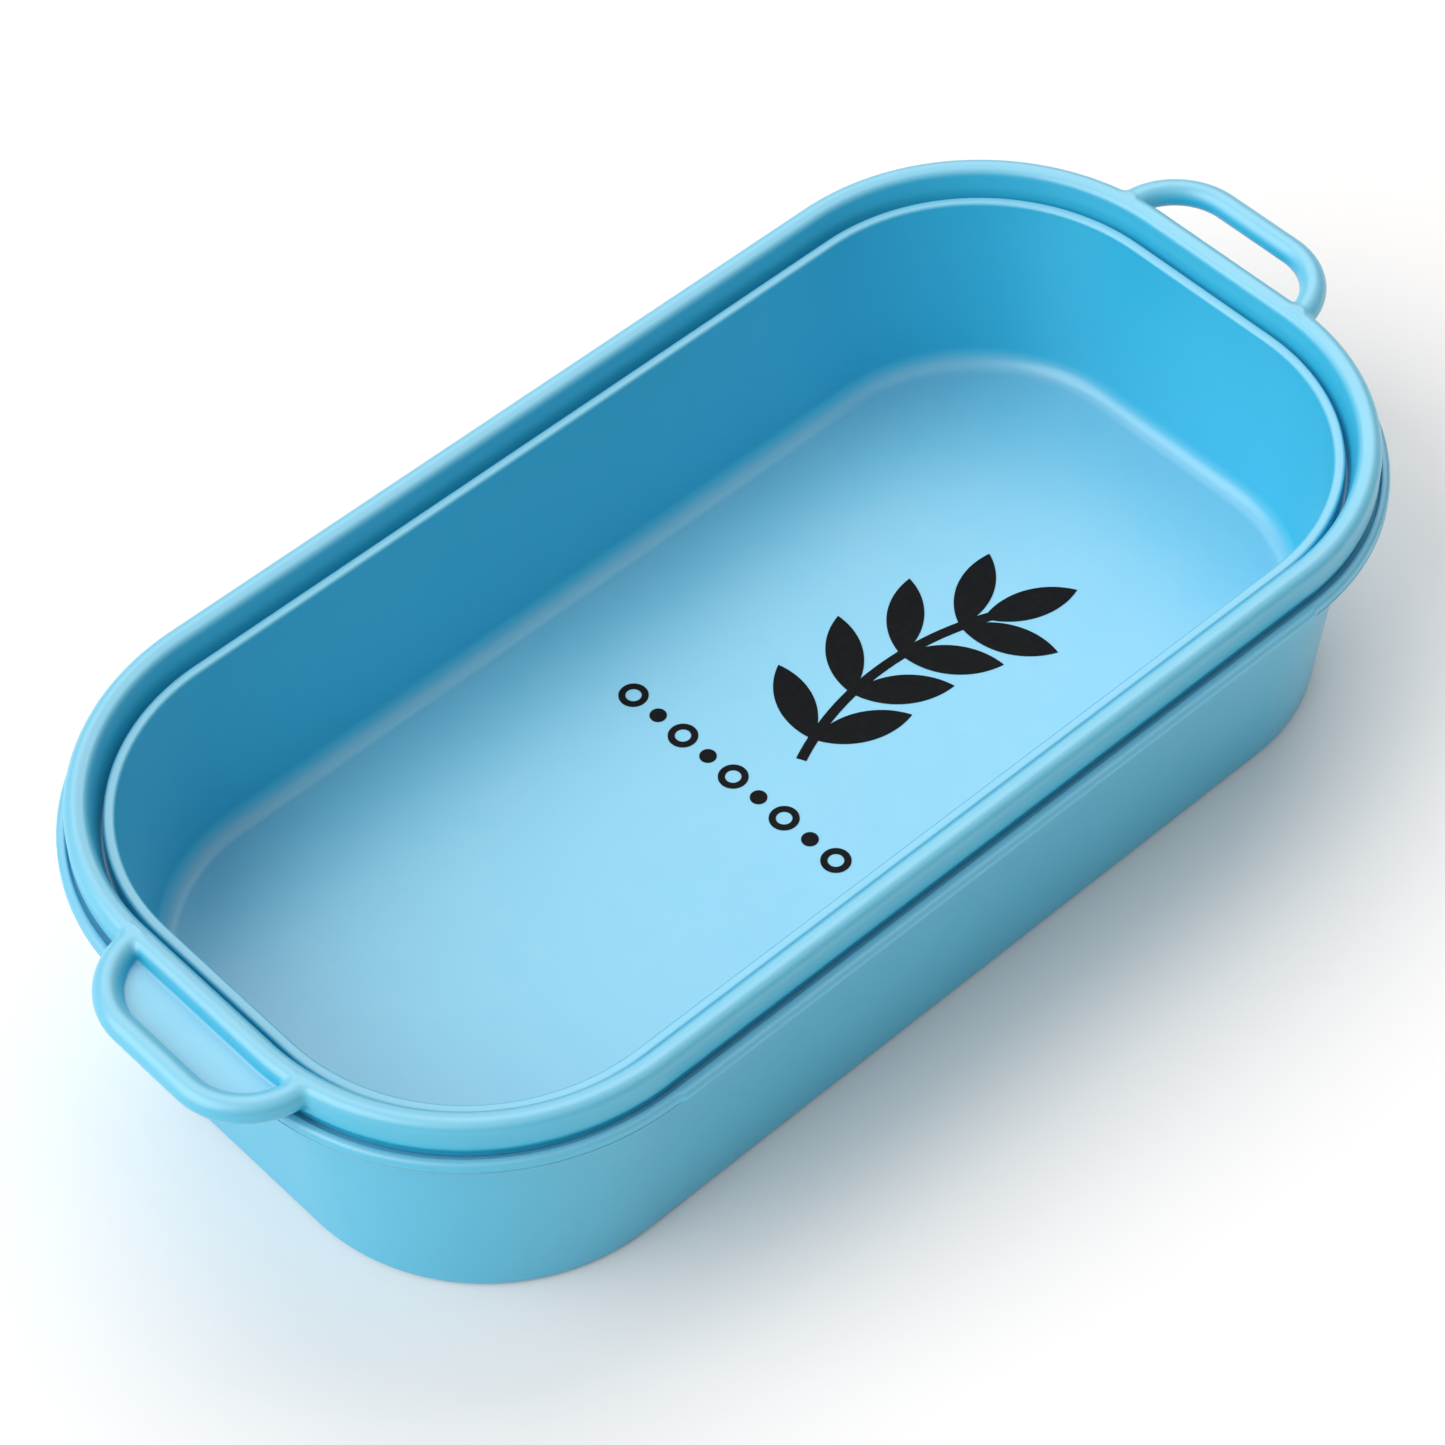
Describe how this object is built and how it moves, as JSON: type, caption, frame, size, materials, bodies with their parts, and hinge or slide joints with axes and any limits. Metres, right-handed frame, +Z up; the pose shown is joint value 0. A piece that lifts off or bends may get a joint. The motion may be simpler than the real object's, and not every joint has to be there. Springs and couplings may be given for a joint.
{
  "type": "soap mould",
  "caption": "Deep rounded-rectangle silicone mould for casting soap, with a flanged tub and a lift-off rim ring that carries two loop handles.",
  "frame": {"origin": "middle of the footprint on the ground", "axes": "+X along the length, towards the open handle; +Y across the width; +Z up"},
  "size_m": [0.274, 0.134, 0.0572],
  "materials": {
    "silicone_tub": "satin pale blue silicone",
    "silicone_ring": "satin pale blue silicone",
    "wire_steel": "drawn stainless wire",
    "black_ink": "matt black printed ink"
  },
  "bodies": {
    "tub": {"tub": "silicone_tub", "floor_print": "black_ink"},
    "ring": {"rim_ring": "silicone_ring", "rim_hoop": "wire_steel", "bow_left": "wire_steel", "bow_right": "wire_steel"}
  },
  "joints": [
    {"name": "ring_lift", "type": "slide", "parent": "tub", "child": "ring", "axis": [0, 0, 1], "range_m": [0, 0.05]}
  ]
}
